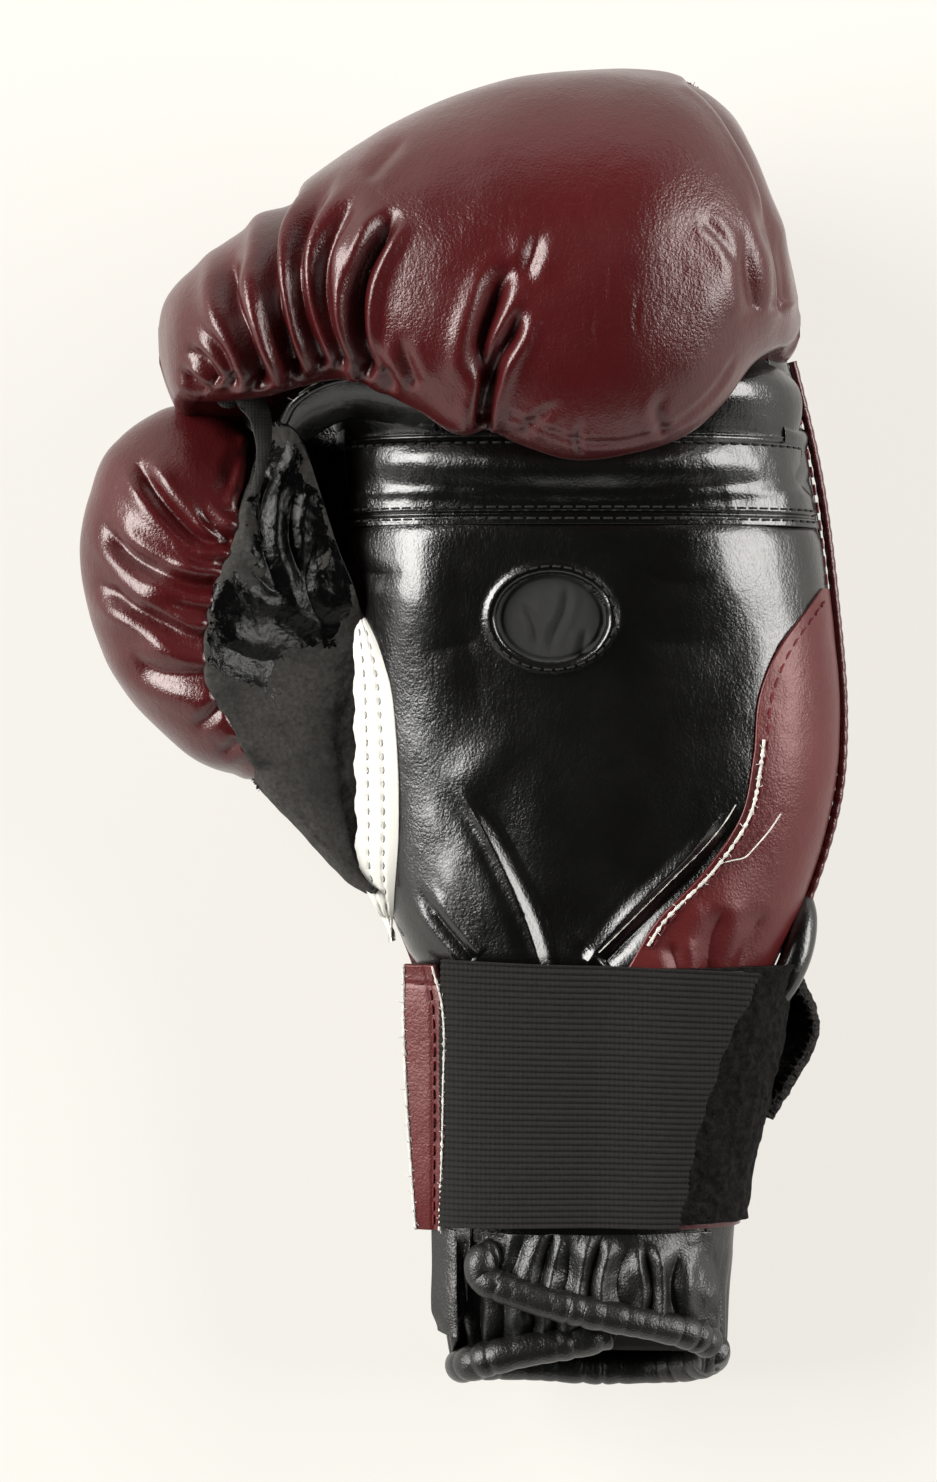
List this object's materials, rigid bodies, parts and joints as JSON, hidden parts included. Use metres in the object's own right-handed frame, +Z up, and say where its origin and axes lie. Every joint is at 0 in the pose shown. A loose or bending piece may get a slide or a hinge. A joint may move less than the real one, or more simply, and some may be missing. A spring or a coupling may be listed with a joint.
{
  "type": "boxing glove",
  "caption": "Worn padded boxing glove for the left hand, palm up, with a curled mitt, a tethered thumb, a palm grip bar and an elastic hook-and-loop wrist strap",
  "frame": {"origin": "on the floor under the middle of the glove's box, the glove lying on its back", "axes": "+X from the thumb side to the little-finger side, +Y from the cuff to the knuckles, +Z up out of the palm"},
  "size_m": [0.178, 0.3023, 0.1082],
  "materials": {
    "maroon_leather": "glossy grained leather, worn",
    "black_leather": "glossy grained leather, creased",
    "grey_suede": "suede backing with the finish peeling off",
    "white_leather": "semi-matt smooth leather",
    "foam": "closed-cell foam padding",
    "lining_fabric": "grey satin lining",
    "vent_mesh": "black matt mesh",
    "elastic_webbing": "ribbed elastic webbing",
    "loop_fabric": "fuzzy loop pile",
    "hook_plastic": "hook tape",
    "tether_webbing": "woven tape"
  },
  "bodies": {
    "glove": {"fist_leather": "maroon_leather", "fist_padding": "foam", "hand_lining": "lining_fabric", "hand_padding": "foam", "cuff_padding": "foam", "palm_panel": "black_leather", "vent_lining": "vent_mesh", "white_trim": "white_leather", "side_panel": "maroon_leather", "shoulder_panel": "black_leather", "back_panel": "maroon_leather", "thumb_web_panel": "black_leather", "grip_bar_cover": "black_leather", "grip_bar_core": "foam", "upper_palm_panel": "black_leather", "palm_edge_binding": "black_leather", "side_welt": "maroon_leather", "cuff_leather": "black_leather", "wrist_panel": "black_leather", "cuff_binding": "black_leather", "wrist_strap": "maroon_leather", "loop_patch": "loop_fabric", "loop_flap": "loop_fabric"},
    "thumb": {"thumb_leather": "maroon_leather", "thumb_padding": "foam", "thumb_gusset": "grey_suede", "thumb_tether": "tether_webbing"},
    "closure": {"elastic_band": "elastic_webbing", "hook_patch": "hook_plastic"},
    "flap": {"cuff_flap": "black_leather", "flap_binding": "black_leather"}
  },
  "joints": [
    {"name": "thumb_spread", "type": "hinge", "parent": "glove", "child": "thumb", "pos_m": [-0.027, -0.038, 0.036], "axis": [0, 0, 1], "range_deg": [0, 10], "stiffness_Nm_per_rad": 0.5},
    {"name": "closure_open", "type": "hinge", "parent": "glove", "child": "closure", "pos_m": [-0.00697, -0.0838, 0.048], "axis": [-0.0033, -0.9895, -0.1446], "range_deg": [0, 150]},
    {"name": "flap_lift", "type": "hinge", "parent": "glove", "child": "flap", "pos_m": [0.0543, -0.126, 0.0469], "axis": [0, 0.9819, 0.1895], "range_deg": [0, 35]}
  ]
}
